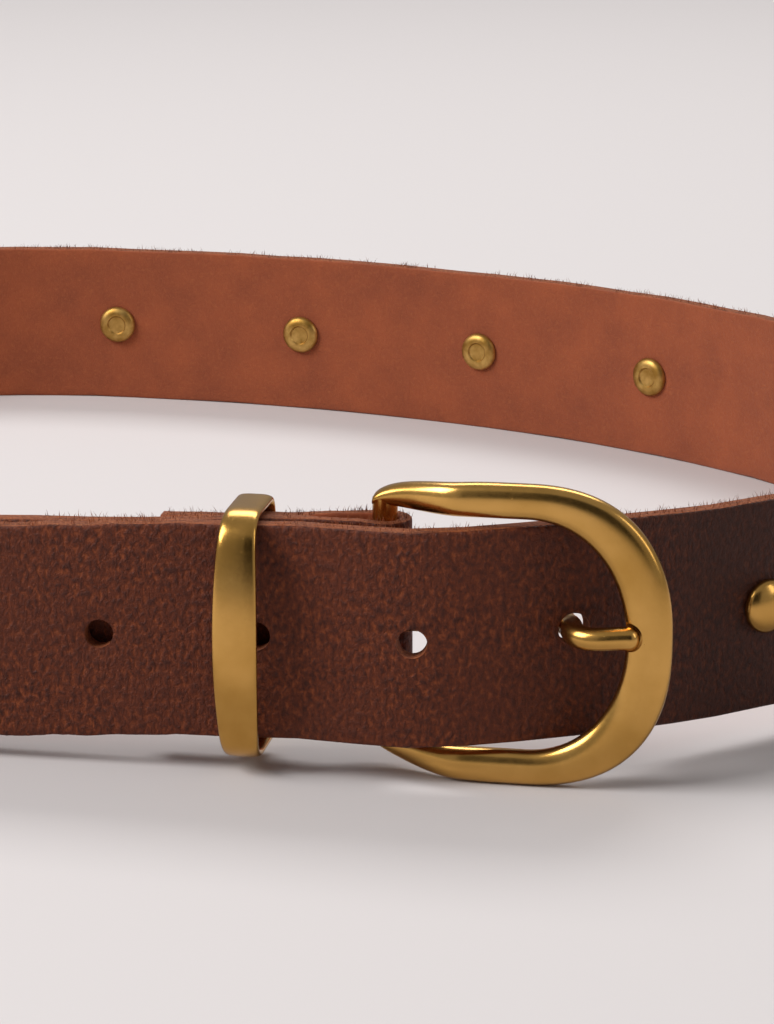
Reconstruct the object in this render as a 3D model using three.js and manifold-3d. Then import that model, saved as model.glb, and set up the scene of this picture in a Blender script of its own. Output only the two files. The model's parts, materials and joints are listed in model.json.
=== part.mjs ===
// A leather belt, buckled into a loop and standing on its edge.
// Millimetres, +Z up. The front of the loop faces -Y and the strap there runs along X.
// Plan sizes are taken from the axis of the buckle's heel bar.

import * as THREE from 'three';
import { mergeVertices } from 'three/addons/utils/BufferGeometryUtils.js';
import Module from 'manifold-3d';

const wasm = await Module();
wasm.setup();

// ---- driving dimensions ---------------------------------------------------

const gap = 0.3; // air left between pieces that touch
const pin = 0.35; // air round a pin, post or wire in its hole

const strap = {
  width: 35,
  thickness: 3.3,
  skived: 2, // thinned leather, where the strap folds round the bar
  skiveReach: 9, // how far the thin part runs to each side of the bar
  skiveRun: 9, // length of the slope from thin to full
  turnBack: 36.2, // how far the folded end reaches back from the bar
  billetGap: 0.9, // room for the screw heads between billet and body ply
  wave: 2.6, // how far the billet bows out where it passes over the bar
  step: 5, // spacing of the flats that stand for a curve
};

// The loop in plan: its reach to the left and right of the bar, and its depth.
const loop = {
  left: 215.5,
  right: 94,
  depth: 244.6,
  straight: 70, // straight stretch left of the bar
  backCrown: -106.5, // where the back is farthest from the buckle
  sideHeight: 140, // where the left end is farthest out
  rightHeight: 107, // and the right end
};

// Height of the strap's lower edge over the ground along the loop.
const lift = { buckle: 6.6, prong: 7.1, fold: 6.1, turnEnd: 4.6, keeper: 5.7, left: 3.3, slope: 5.8,
  back: 0 };

const hole = { diameter: 4.7, pitch: 25.4, count: 5, fromBar: 29.8, below: 0.5 };
const tail = { pastLastHole: 71, tipLength: 15, standOff: 6 };

const bar = { diameter: 4, behind: 6.6 }; // its axis lies behind the billet's middle

const buckle = {
  length: 46.1, // from the bar's axis to the outside of the round end
  sideRoom: 1.3, // air between an arm and the strap's edge
  arm: 5.6, // band width of the arms
  end: 7.3, // band width of the round end
  endDepth: 23, // how much of the length is the round end
  thickness: 4.2,
  setBack: 5.4, // the band's middle lies this far in front of the bar
  backReach: 13, // length of the arm that curves back to the bar
  heel: 1.6, // the arms end this far behind the bar's axis
  taper: 5, // how much an arm narrows to its rounded end
  taperReach: 15,
  squareness: 2.4, // of the outside; 2 is a plain ellipse
};

const prong = { wire: 3.7, eyeWall: 2, eyeWidth: 3.8, rise: 5.2, tipShort: 4.9, tip: 0.55, sunk: 0.3,
  holeRoom: 0.9, // all round it, in the hole that it has stretched
  above: 1 }; // it lies this far above the frame's middle

const keeper = { fromBar: 21.4, width: 6.8, metal: 1.6, play: 0.7, hang: 0.3, bow: 2.6,
  sideGap: 0.65, corner: 5, frontRound: 0.12, backRound: 0.15 };

const screw = { fromBar: [12.1, 30.8], head: 8, headHeight: 0.9, sunk: 0.35, barrel: 5, shank: 2.6 };

const stud = { cap: 9, capHeight: 2.6, back: 8.4, backHeight: 1.5, post: 4, pinSize: 1.8, pitch: 44.8,
  fromProng: 36.5, clearOfTip: 14 };

const leather = material(0x5c3323, 0.62, 0);
const brass = material(0xb08a45, 0.34, 0.95);
const tarnished = material(0x9a7a42, 0.42, 0.9);

// ---- small helpers --------------------------------------------------------

function material(color, roughness, metalness) {
  return new THREE.MeshStandardMaterial({ color, roughness, metalness });
}

function toSolid(geometry) {
  const bare = geometry.clone();
  bare.deleteAttribute('normal');
  bare.deleteAttribute('uv');
  const merged = mergeVertices(bare, 1e-4);
  return new wasm.Manifold(new wasm.Mesh({
    numProp: 3,
    vertProperties: new Float32Array(merged.attributes.position.array),
    triVerts: new Uint32Array(merged.index.array),
  }));
}

function toGeometry(solid) {
  const mesh = solid.getMesh();
  const geometry = new THREE.BufferGeometry();
  geometry.setAttribute('position', new THREE.BufferAttribute(new Float32Array(mesh.vertProperties), 3));
  geometry.setIndex(new THREE.BufferAttribute(new Uint32Array(mesh.triVerts), 1));
  geometry.computeVertexNormals();
  return geometry;
}

function cut(geometry, cutters) {
  const solid = cutters.reduce((left, cutter) => left.subtract(toSolid(cutter)), toSolid(geometry));
  return toGeometry(solid);
}

function join(geometries) {
  return toGeometry(geometries.map(toSolid).reduce((sum, solid) => sum.add(solid)));
}

function piece(name, geometry, look) {
  const mesh = new THREE.Mesh(geometry, look);
  mesh.name = name;
  return mesh;
}

function smooth(t) {
  const x = THREE.MathUtils.clamp(t, 0, 1);
  return x * x * (3 - 2 * x);
}

// A cylinder or lathed piece made along +Y, turned so that its +Y follows a plan direction.
function aim(geometry, place, direction, height) {
  geometry.rotateZ(Math.atan2(direction.y, direction.x) - Math.PI / 2);
  geometry.translate(place.x, place.y, height);
  return geometry;
}

// ---- the strap's route, seen from above -----------------------------------

const bodyY = strap.billetGap + strap.thickness; // middle of the body ply behind the billet
const turnY = bodyY + strap.thickness + gap; // middle of the turned-back ply
const foldRadius = bar.diameter / 2 + gap + strap.skived / 2;
const quarter = 0.5523; // handle length of a quarter ellipse, as a share of its half axis

function bezier(from, fromHeading, fromReach, to, toHeading, toReach) {
  const along = (point, heading, reach) => new THREE.Vector2(
    point[0] + reach * Math.cos(THREE.MathUtils.degToRad(heading)),
    point[1] + reach * Math.sin(THREE.MathUtils.degToRad(heading)),
  );
  return new THREE.CubicBezierCurve(
    new THREE.Vector2(...from), along(from, fromHeading, fromReach),
    along(to, toHeading, -toReach), new THREE.Vector2(...to),
  );
}

function straight(from, to) {
  return new THREE.LineCurve(new THREE.Vector2(...from), new THREE.Vector2(...to));
}

const partX = -screw.fromBar[0]; // the plies part to the right of the first screw
const barPoint = [0, bar.behind];
const leftEnd = [-loop.left, loop.sideHeight];
const backEnd = [loop.backCrown, bodyY + loop.depth];
const rightEnd = [loop.right, loop.rightHeight];
const slope = 217.5; // heading of the strap where it comes in behind the round end
const slopePoint = [buckle.length + 5.4, 24];
const prongPoint = [hole.fromBar, 5.7]; // where the billet hangs on the prong
const prongHeading = 201;
const crest = [3.5, -strap.wave];
const lineStart = [-keeper.fromBar + keeper.width / 2 + 4, 0];

function bodyRoute() {
  const route = new THREE.CurvePath();
  const partReach = -partX / 2;
  route.add(straight([-strap.turnBack, turnY], [partX, turnY]));
  route.add(bezier([partX, turnY], 0, partReach, [0, barPoint[1] + foldRadius], 0, partReach));
  route.add(new THREE.EllipseCurve(...barPoint, foldRadius, foldRadius, Math.PI / 2, -Math.PI / 2, true));
  route.add(bezier([0, barPoint[1] - foldRadius], 180, partReach, [partX, bodyY], 180, partReach));
  route.add(straight([partX, bodyY], [-loop.straight, bodyY]));
  route.add(bezier([-loop.straight, bodyY], 180, quarter * (loop.left - loop.straight),
    leftEnd, 90, quarter * (leftEnd[1] - bodyY)));
  route.add(bezier(leftEnd, 90, quarter * (backEnd[1] - leftEnd[1]),
    backEnd, 0, quarter * (backEnd[0] - leftEnd[0])));
  route.add(bezier(backEnd, 0, quarter * (rightEnd[0] - backEnd[0]),
    rightEnd, -90, quarter * (backEnd[1] - rightEnd[1])));
  route.add(bezier(rightEnd, -90, 36, slopePoint, slope, 22));
  route.add(bezier(slopePoint, slope, 8, prongPoint, prongHeading, 8));
  route.add(bezier(prongPoint, prongHeading, 9, crest, 180, 10));
  route.add(bezier(crest, 180, 5, lineStart, 180, 5));
  route.add(straight(lineStart, [seamX, 0]));
  return route;
}

// The free end: straight past the keeper, then easing away outside the body ply.
function tailRoute() {
  const route = new THREE.CurvePath();
  const tipX = hole.fromBar - hole.pitch * (hole.count - 1) - tail.pastLastHole;
  const easeX = -loop.straight;
  const depthThere = ellipseDepth(tipX);
  const tip = [tipX, depthThere - bodyY - tail.standOff];
  const heading = 180 - 1.2 * THREE.MathUtils.radToDeg(Math.atan2(tip[1], easeX - tipX));
  route.add(straight([seamX - gap, 0], [easeX, 0]));
  route.add(bezier([easeX, 0], 180, (easeX - tipX) / 3, tip, heading, (easeX - tipX) / 3));
  return route;
}

// Where the body ply's middle lies at an x on the left front quarter of the loop.
function ellipseDepth(x) {
  const along = (-loop.straight - x) / (loop.left - loop.straight);
  return bodyY + (leftEnd[1] - bodyY) * (1 - Math.sqrt(Math.max(0, 1 - along * along)));
}

const seamX = -keeper.fromBar - keeper.width / 2 - 0.3;

// Points, normals and lengths along a route, closer together where it turns sharply.
function survey(route) {
  const total = route.getLength();
  const lengths = route.getCurveLengths();
  const stations = [];
  let before = 0;
  route.curves.forEach((curve, index) => {
    const length = lengths[index] - before;
    const turning = curve.getTangentAt(0).angleTo(curve.getTangentAt(1));
    const steps = Math.max(Math.ceil(length / strap.step), Math.ceil(turning / 0.2), 1);
    for (let i = index === 0 ? 0 : 1; i <= steps; i += 1) {
      const at = (before + (length * i) / steps) / total;
      stations.push(stationAt(route, at * total));
    }
    before = lengths[index];
  });
  return stations;
}

function stationAt(route, s) {
  const total = route.getLength();
  const t = THREE.MathUtils.clamp(s / total, 0, 1);
  const point = route.getPoint(t);
  const ahead = route.getPoint(Math.min(1, t + 1e-4));
  const behind = route.getPoint(Math.max(0, t - 1e-4));
  const tangent = ahead.sub(behind).normalize();
  return { s, point, tangent, inward: new THREE.Vector2(tangent.y, -tangent.x) };
}

const body = bodyRoute();
const bodyLength = body.getLength();
const sections = body.getCurveLengths();
const foldStart = sections[1];
const foldMiddle = (sections[1] + sections[2]) / 2;
const free = tailRoute();

// The strap is thin round the bar and slopes up to its full thickness.
function thicknessAt(s) {
  const away = Math.abs(s - foldMiddle) - (sections[2] - foldStart) / 2 - strap.skiveReach;
  return THREE.MathUtils.lerp(strap.skived, strap.thickness, smooth(away / strap.skiveRun));
}

// The lower edge: level in the buckle, down to the ground round the back.
function liftAt(s) {
  const keys = [
    [0, lift.turnEnd],
    [foldStart, lift.fold],
    [sections[3], lift.fold],
    [sections[3] + strap.turnBack, lift.turnEnd - 0.5],
    [sections[4] + 8, lift.left],
    [sections[5] + 30, lift.back],
    [sections[7] - 40, lift.back],
    [sections[8], lift.slope],
    [sections[9], lift.prong],
    [sections[10], lift.buckle],
    [bodyLength, lift.keeper],
  ];
  return alongKeys(keys, s);
}

function tailLiftAt(s) {
  return alongKeys([[0, lift.keeper], [40, lift.left + 0.5], [free.getLength(), lift.left - 1]], s);
}

function alongKeys(keys, s) {
  const next = keys.findIndex(([at]) => at >= s);
  if (next < 0) return keys[keys.length - 1][1];
  if (next === 0) return keys[0][1];
  const [from, low] = keys[next - 1];
  const [to, high] = keys[next];
  return THREE.MathUtils.lerp(low, high, smooth((s - from) / (to - from)));
}

// ---- leather --------------------------------------------------------------

// A strip of leather on edge: its plan outline drawn up by the strap's width.
function strip(stations, thickness, liftOf) {
  const side = (sign) => stations.map(({ s, point, inward }) => point.clone()
    .addScaledVector(inward, sign * thickness(s) / 2));
  const outline = [...side(1), ...side(-1).reverse()];
  const geometry = new THREE.ExtrudeGeometry(new THREE.Shape(outline),
    { depth: strap.width, bevelEnabled: false });
  const lifts = [...stations, ...stations.slice().reverse()].map(({ s }) => liftOf(s));
  const place = geometry.attributes.position;
  for (let i = 0; i < place.count; i += 1) {
    const corner = outline.findIndex((p) => Math.abs(p.x - place.getX(i)) < 1e-3
      && Math.abs(p.y - place.getY(i)) < 1e-3);
    place.setZ(i, place.getZ(i) + lifts[corner]);
  }
  return geometry;
}

// A round punch that goes through one ply only.
function punch(station, diameter, height, thickness = strap.thickness, sides = 12) {
  const tool = new THREE.CylinderGeometry(diameter / 2, diameter / 2, thickness + gap, sides);
  return aim(tool, station.point, station.inward, height);
}

function middle(s) {
  return liftAt(s) + strap.width / 2;
}

// Holes along the billet, one pitch apart along the leather, the first one on the prong.
const prongHoleLength = sections[9];
const holeLengths = Array.from({ length: hole.count }, (_, i) => prongHoleLength + i * hole.pitch);
const tailStart = bodyLength + gap;
const tailLength = free.getLength();

// Studs run back from the prong along the leather, as far as the overlapped part.
const studLengths = [];
const underTail = sections[3] + Math.abs(free.getPoint(1).x) + stud.clearOfTip;
for (let s = prongHoleLength - stud.fromProng; s > underTail; s -= stud.pitch) studLengths.push(s);

const screwXs = screw.fromBar.map((x) => -x);
const plySpots = screwXs.map((x) => ({
  front: new THREE.Vector2(x, bodyY - strap.thickness / 2),
  height: liftAt(sections[3] + partX + Math.abs(x)) + strap.width / 2,
}));

function strapBody() {
  const blank = strip(survey(body), thicknessAt, liftAt);
  const cutters = [];
  for (const s of holeLengths.filter((length) => length < bodyLength - hole.diameter)) {
    const [diameter, height] = s === prongHoleLength
      ? [prong.wire + 2 * prong.holeRoom, prongZ] : [hole.diameter, middle(s) - hole.below];
    cutters.push(punch(stationAt(body, s), diameter, height, strap.thickness, 16));
  }
  for (const s of studLengths) {
    cutters.push(punch(stationAt(body, s), stud.post + 2 * pin, middle(s)));
  }
  for (const { front, height } of plySpots) {
    const through = 2 * strap.thickness + 3 * gap;
    const barrel = new THREE.CylinderGeometry(screw.barrel / 2 + pin, screw.barrel / 2 + pin, through, 12);
    cutters.push(barrel.translate(front.x, front.y + strap.thickness + gap / 2, height));
    for (const face of [0, 2 * strap.thickness + gap]) {
      const seat = new THREE.CylinderGeometry(screw.head / 2 + pin, screw.head / 2 + pin,
        2 * (screw.sunk + gap), 12);
      cutters.push(seat.translate(front.x, front.y + face, height));
    }
  }
  cutters.push(prongSlot());
  return piece('strap', cut(blank, cutters), leather);
}

// The slot in the fold that lets the prong's eye through to the bar.
function prongSlot() {
  const eye = bar.diameter / 2 + gap + prong.eyeWall;
  const height = prong.eyeWidth + 4 * pin;
  const depth = 2 * (eye + 2);
  const slot = new THREE.BoxGeometry(eye + 3 + foldRadius + strap.skived, depth, height);
  return slot.translate((foldRadius + strap.skived - eye - 3) / 2, bar.behind, prongZ);
}

function strapTail() {
  const stations = survey(free);
  const blank = strip(stations, () => strap.thickness, tailLiftAt);
  const cutters = [];
  for (const s of holeLengths.map((length) => length - tailStart).filter((s) => s > hole.diameter)) {
    cutters.push(punch(stationAt(free, s), hole.diameter, tailLiftAt(s) + strap.width / 2 - hole.below,
      strap.thickness, 16));
  }
  cutters.push(tipCutter());
  return piece('strap_tail', cut(blank, cutters), leather);
}

// What is trimmed off around the rounded tip.
function tipCutter() {
  const half = strap.width / 2;
  const shape = new THREE.Shape();
  shape.moveTo(-tail.tipLength, half + 3);
  shape.lineTo(-tail.tipLength, half);
  for (let i = 0; i <= 12; i += 1) {
    const angle = Math.PI / 2 - (Math.PI * i) / 12;
    shape.lineTo(-tail.tipLength + tail.tipLength * Math.cos(angle), half * Math.sin(angle));
  }
  shape.lineTo(-tail.tipLength, -half - 3);
  shape.lineTo(4, -half - 3);
  shape.lineTo(4, half + 3);
  const deep = 3 * strap.thickness;
  const tool = new THREE.ExtrudeGeometry(shape, { depth: deep, bevelEnabled: false });
  tool.translate(0, 0, -deep / 2);
  tool.rotateX(Math.PI / 2);
  const tip = stationAt(free, tailLength);
  tool.rotateZ(Math.atan2(tip.tangent.y, tip.tangent.x));
  return tool.translate(tip.point.x, tip.point.y, tailLiftAt(tailLength) + half);
}

// ---- buckle ---------------------------------------------------------------

const opening = strap.width + 2 * buckle.sideRoom;
const frameHeight = opening + 2 * buckle.arm;
const frameY = bar.behind - buckle.setBack;
const frameZ = frameHeight / 2; // the buckle stands on the ground
const prongY = frameY - buckle.thickness / 2 + prong.sunk;
const prongTip = buckle.length - prong.tipShort;
const prongZ = frameZ + prong.above;

// The band in elevation, at stations from the upper arm's end round to the lower one's:
// a pair of points on its inner and its outer edge.
function bandStations() {
  const turn = buckle.length - buckle.endDepth;
  const halves = [opening / 2, frameHeight / 2];
  const reaches = [buckle.endDepth - buckle.end, buckle.endDepth];
  const powers = [2 / 2.1, 2 / buckle.squareness];
  const narrowing = (x) => {
    const left = 1 - Math.min(1, (x + buckle.heel) / buckle.taperReach);
    return buckle.taper * (1 - Math.sqrt(1 - left * left));
  };
  const arm = [0, 0.06, 0.16, 0.32, 0.55, 0.8, 1].map((share) => -buckle.heel
    + share * (turn + buckle.heel));
  const side = (sign) => arm.map((x) => [
    new THREE.Vector2(x, sign * halves[0]),
    new THREE.Vector2(x, sign * (halves[1] - narrowing(x))),
  ]);
  const steps = 20;
  const round = Array.from({ length: steps - 1 }, (_, i) => {
    const angle = Math.PI / 2 - (Math.PI * (i + 1)) / steps;
    return [0, 1].map((edge) => new THREE.Vector2(
      turn + reaches[edge] * Math.abs(Math.cos(angle)) ** powers[edge],
      halves[edge] * Math.sign(Math.sin(angle)) * Math.abs(Math.sin(angle)) ** powers[edge],
    ));
  });
  return [...side(1), ...round, ...side(-1).reverse()];
}

// A band of rounded section through the stations, its arms curving back to the bar.
function band() {
  const sides = 12;
  const places = [];
  for (const [inner, outer] of bandStations()) {
    const centre = inner.clone().add(outer).divideScalar(2);
    const half = outer.clone().sub(inner).divideScalar(2);
    for (let i = 0; i < sides; i += 1) {
      const angle = (2 * Math.PI * (i + 0.5)) / sides;
      const [across, deep] = [Math.cos(angle), Math.sin(angle)].map((v) => Math.sign(v) * Math.abs(v) ** 0.8);
      const x = centre.x + half.x * across;
      const back = 1 - smooth((x + buckle.heel) / buckle.backReach);
      places.push(x, frameY + buckle.setBack * back + (buckle.thickness / 2) * deep,
        frameZ + centre.y + half.y * across);
    }
  }
  const count = places.length / 3 / sides;
  const faces = [];
  for (let k = 0; k < count - 1; k += 1) {
    for (let i = 0; i < sides; i += 1) {
      const [a, b] = [k * sides + i, k * sides + ((i + 1) % sides)];
      faces.push(a, a + sides, b, b, a + sides, b + sides);
    }
  }
  const last = (count - 1) * sides;
  for (let i = 1; i < sides - 1; i += 1) faces.push(0, i, i + 1, last, last + i + 1, last + i);
  const geometry = new THREE.BufferGeometry();
  geometry.setAttribute('position', new THREE.Float32BufferAttribute(places, 3));
  geometry.setIndex(faces);
  return geometry;
}

// The prong's tip lies in a round-ended pocket, open to the front and to the inside.
function pocket() {
  const r = prong.wire / 2 + 2 * pin;
  const roundX = prongTip + pin - r;
  const shape = new THREE.Shape();
  shape.moveTo(roundX - buckle.end, -r);
  shape.lineTo(roundX, -r);
  shape.absarc(roundX, 0, r, -Math.PI / 2, Math.PI / 2);
  shape.lineTo(roundX - buckle.end, r);
  const floor = prongY + prong.wire / 2 + pin;
  const tool = new THREE.ExtrudeGeometry(shape, { depth: 2 * buckle.thickness, bevelEnabled: false,
    curveSegments: 8 });
  tool.rotateX(Math.PI / 2); // the drawing stands up and the extrusion runs towards -y
  return tool.translate(0, floor, prongZ);
}

function buckleFrame() {
  const heel = new THREE.CylinderGeometry(bar.diameter / 2, bar.diameter / 2, opening + 2, 14);
  heel.rotateX(Math.PI / 2);
  heel.translate(0, bar.behind, frameZ);
  return piece('buckle_frame', cut(join([band(), heel]), [pocket()]), brass);
}

// From the eye on the bar, behind the billet, forward through its hole, and along to the pocket.
function prongPiece() {
  const [holeX, holeY] = prongPoint;
  const eyeMiddle = bar.diameter / 2 + gap + prong.eyeWall / 2;
  const points = [
    [1, bar.behind - eyeMiddle], [8, bar.behind - eyeMiddle + 0.3], [15, bar.behind - eyeMiddle + 2],
    [holeX - 6, holeY + 3.9], [holeX - 2.4, holeY + prong.rise], [holeX - 1.5, holeY + 2],
    [holeX - 0.2, holeY], [holeX + 0.3, holeY - 2.2], [holeX + 1.4, prongY + 1.4], [holeX + 3.6, prongY],
    [prongTip, prongY],
  ].map(([x, y]) => new THREE.Vector2(x, y));
  const route = new THREE.CatmullRomCurve3(points.map((p) => new THREE.Vector3(p.x, p.y, prongZ)));
  const section = new THREE.Shape(Array.from({ length: 10 }, (_, i) => new THREE.Vector2(
    (prong.wire / 2) * Math.cos((i * Math.PI) / 5), (prong.wire / 2) * Math.sin((i * Math.PI) / 5),
  )));
  const wire = new THREE.ExtrudeGeometry(section, { extrudePath: route, steps: 48, bevelEnabled: false });
  const place = wire.attributes.position;
  for (let i = 0; i < place.count; i += 1) { // the last ring drawn in for a blunt tip
    if (place.getX(i) < prongTip - 0.3) continue;
    place.setY(i, THREE.MathUtils.lerp(prongY, place.getY(i), prong.tip));
    place.setZ(i, THREE.MathUtils.lerp(prongZ, place.getZ(i), prong.tip));
  }
  const ring = new THREE.Shape().absarc(0, 0, eyeMiddle + prong.eyeWall / 2, 0, 2 * Math.PI);
  ring.holes.push(new THREE.Path().absarc(0, 0, bar.diameter / 2 + gap, 0, 2 * Math.PI, true));
  const eye = new THREE.ExtrudeGeometry(ring,
    { depth: prong.eyeWidth, bevelEnabled: false, curveSegments: 20 });
  eye.translate(0, bar.behind, prongZ - prong.eyeWidth / 2);
  const boreRadius = bar.diameter / 2 + gap;
  const bore = new THREE.CylinderGeometry(boreRadius, boreRadius, 2 * prong.eyeWidth, 20);
  bore.rotateX(Math.PI / 2);
  bore.translate(0, bar.behind, prongZ);
  return piece('prong', cut(join([wire, eye]), [bore]), brass);
}

// ---- keeper ---------------------------------------------------------------

// A band bent round the three plies, its front bowed out.
function keeperPiece() {
  const front = -strap.thickness / 2 - keeper.sideGap;
  const back = turnY + strap.thickness / 2 + gap;
  const half = strap.width / 2 + keeper.play;
  const wrap = (grow) => {
    const f = front - grow;
    const b = back + grow;
    const h = half + grow;
    const r = keeper.corner + grow;
    const points = [];
    for (let i = 0; i <= 12; i += 1) {
      const z = -h + (2 * h * i) / 12;
      const side = THREE.MathUtils.clamp((Math.abs(z) - (h - r)) / r, 0, 1);
      const rounding = r * keeper.frontRound * (1 - Math.sqrt(1 - side * side));
      points.push([f - keeper.bow * (1 - (z / h) ** 2) + rounding, z]);
    }
    const c = keeper.backRound + grow / 2;
    points.push([b - c, h], [b, h - c], [b, -h + c], [b - c, -h]);
    return points.map(([y, z]) => new THREE.Vector2(y, z));
  };
  const shape = new THREE.Shape(wrap(keeper.metal));
  shape.holes.push(new THREE.Path(wrap(0).reverse()));
  const band = new THREE.ExtrudeGeometry(shape, { depth: keeper.width, bevelEnabled: false });
  band.translate(0, 0, -keeper.width / 2);
  // drawing (y, z) and extrusion along x
  band.applyMatrix4(new THREE.Matrix4().makeBasis(
    new THREE.Vector3(0, 1, 0), new THREE.Vector3(0, 0, 1), new THREE.Vector3(1, 0, 0),
  ));
  band.translate(-keeper.fromBar, 0, lift.keeper - keeper.hang + strap.width / 2);
  return piece('keeper', band, brass);
}

// ---- screws and studs -----------------------------------------------------

function lathe(profile, sides) {
  return new THREE.LatheGeometry(profile.map(([r, y]) => new THREE.Vector2(r, y)), sides);
}

// A barrel with a bored end, and the screw that closes it from the flesh side.
function foldScrews() {
  const r = screw.head / 2;
  const depth = 2 * strap.thickness + gap;
  const seat = screw.sunk;
  const pieces = [];
  plySpots.forEach(({ front, height }, index) => {
    const barrelEnd = depth - seat - 1.2;
    const half = lathe([
      [0, seat - screw.headHeight], [r - 0.4, seat - screw.headHeight], [r, seat - 0.3], [r, seat],
      [screw.barrel / 2, seat], [screw.barrel / 2, barrelEnd],
      [screw.shank / 2 + gap, barrelEnd], [screw.shank / 2 + gap, seat + 1.2], [0, seat + 1.2],
    ], 14);
    const closing = lathe([
      [0, seat + 2.6], [screw.shank / 2, seat + 2.6], [screw.shank / 2, depth - seat],
      [r, depth - seat], [r, depth - seat + 0.3], [r - 0.4, depth - seat + screw.headHeight],
      [0, depth - seat + screw.headHeight],
    ], 14);
    for (const [kind, geometry] of [['fold_screw_barrel', half], ['fold_screw', closing]]) {
      geometry.translate(front.x, front.y, height);
      pieces.push(piece(`${kind}_${index + 1}`, geometry, tarnished));
    }
  });
  return pieces;
}

// A domed cap with its bored post, and the back cap whose pin closes it.
function studs() {
  const outer = strap.thickness / 2 + gap;
  const cap = stud.cap / 2;
  const back = stud.back / 2;
  const postEnd = strap.thickness / 2 - 0.2;
  const front = () => lathe([
    [0, -outer - stud.capHeight], [cap * 0.5, -outer - stud.capHeight * 0.86],
    [cap * 0.87, -outer - stud.capHeight * 0.5], [cap, -outer - 0.3], [cap - 0.3, -outer],
    [stud.post / 2, -outer], [stud.post / 2, postEnd], [stud.pinSize / 2 + gap, postEnd],
    [stud.pinSize / 2 + gap, 0], [0, 0],
  ], 12);
  const behind = () => lathe([
    [0, gap], [stud.pinSize / 2, gap], [stud.pinSize / 2, outer], [back - 0.2, outer],
    [back, outer + 0.4], [back * 0.7, outer + stud.backHeight * 0.85], [0, outer + stud.backHeight],
  ], 12);
  return studLengths.flatMap((s, index) => {
    const spot = stationAt(body, s);
    const number = String(index + 1).padStart(2, '0');
    return [
      piece(`stud_${number}`, aim(front(), spot.point, spot.inward, middle(s)), brass),
      piece(`stud_back_${number}`, aim(behind(), spot.point, spot.inward, middle(s)), tarnished),
    ];
  });
}

// ---- the belt -------------------------------------------------------------

const belt = new THREE.Group();
belt.add(strapBody(), strapTail(), buckleFrame(), prongPiece(), keeperPiece(), ...foldScrews(), ...studs());

// Its origin is on the ground, under the middle of its box.
const box = new THREE.Box3().setFromObject(belt, true);
belt.position.set(-(box.min.x + box.max.x) / 2, -(box.min.y + box.max.y) / 2, -box.min.z);

export default belt;
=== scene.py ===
import json
import math
import random

import bmesh
import bpy
import numpy as np
from mathutils import Matrix, Vector, noise


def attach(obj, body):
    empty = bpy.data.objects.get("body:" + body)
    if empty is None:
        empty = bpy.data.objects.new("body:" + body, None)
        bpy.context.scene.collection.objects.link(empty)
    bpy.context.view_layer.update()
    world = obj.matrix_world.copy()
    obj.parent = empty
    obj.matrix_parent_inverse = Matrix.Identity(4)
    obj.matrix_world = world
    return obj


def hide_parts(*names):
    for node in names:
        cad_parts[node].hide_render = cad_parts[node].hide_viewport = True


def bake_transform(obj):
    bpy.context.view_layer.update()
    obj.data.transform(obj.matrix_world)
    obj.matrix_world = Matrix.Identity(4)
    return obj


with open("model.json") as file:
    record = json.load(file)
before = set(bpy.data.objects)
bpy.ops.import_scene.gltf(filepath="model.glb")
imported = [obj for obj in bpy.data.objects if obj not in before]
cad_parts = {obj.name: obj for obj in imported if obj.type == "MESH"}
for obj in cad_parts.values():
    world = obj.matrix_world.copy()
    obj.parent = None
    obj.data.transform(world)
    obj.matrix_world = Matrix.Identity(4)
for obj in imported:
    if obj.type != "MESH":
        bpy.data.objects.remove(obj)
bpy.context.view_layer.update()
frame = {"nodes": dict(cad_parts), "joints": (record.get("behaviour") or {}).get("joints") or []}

mm = 0.001
barWorld = Vector(next(j for j in frame["joints"] if j["name"] == "buckle_swing")["pos_m"])
print("frame loaded", len(frame["nodes"]), "nodes")

# The strap's own sizes in millimetres. x runs from the bar's axis, y from the billet's middle.
strapSizes = {
    "width": 35, "thickness": 3.3, "skived": 2, "skiveReach": 9, "skiveRun": 9,
    "turnBack": 36.2, "billetGap": 0.9, "wave": 2.6, "gap": 0.3, "pinRoom": 0.35,
    "barDiameter": 4, "barBehind": 6.6, "partX": -12.1,
    "left": 215.5, "right": 94, "depth": 244.6, "straight": 70,
    "backCrown": -106.5, "sideHeight": 140, "rightHeight": 107,
    "slopeX": 51.5, "slopeY": 24, "slopeHeading": 217.5,
    "keeperX": 21.4, "keeperWidth": 7.2,
    "edgeRound": 0.55, "spacing": 1.6, "rows": 20, "foldSpacing": 0.45, "foldMargin": 12,
}
# Height of the strap's lower edge over the ground.
lifts = {"buckle": 6.6, "prong": 7.1, "fold": 6.1, "turnEnd": 4.6, "keeper": 5.7, "left": 3.3,
         "slope": 5.8, "back": 0}
holeSizes = {"diameter": 4.7, "pitch": 25.4, "count": 5, "fromBar": 29.8, "below": 0.5, "stretched": 0.4}
tailSizes = {"pastLastHole": 71, "tipLength": 15, "standOff": 6}
buckleSizes = {
    "length": 46.1, "opening": 37.6, "arm": 5.6, "end": 7.3, "endDepth": 23, "thickness": 4.2,
    "setBack": 5.4, "backReach": 15, "heel": 1.9, "taper": 4.8, "taperReach": 21, "squareness": 2.4,
}
prongSizes = {
    "wire": 3.7, "eyeWall": 2, "eyeWidth": 3.8, "rise": 5.2, "tipShort": 4.9, "sunk": 0.3, "above": 1,
    "dip": 0.5,  # how far the wire sags where it passes through the billet
}
studSizes = {"cap": 9, "capHeight": 2.6, "back": 8.4, "backHeight": 1.5, "post": 4, "pinSize": 1.8,
             "pitch": 44.8, "fromProng": 36.5, "clearOfTip": 14}

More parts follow.
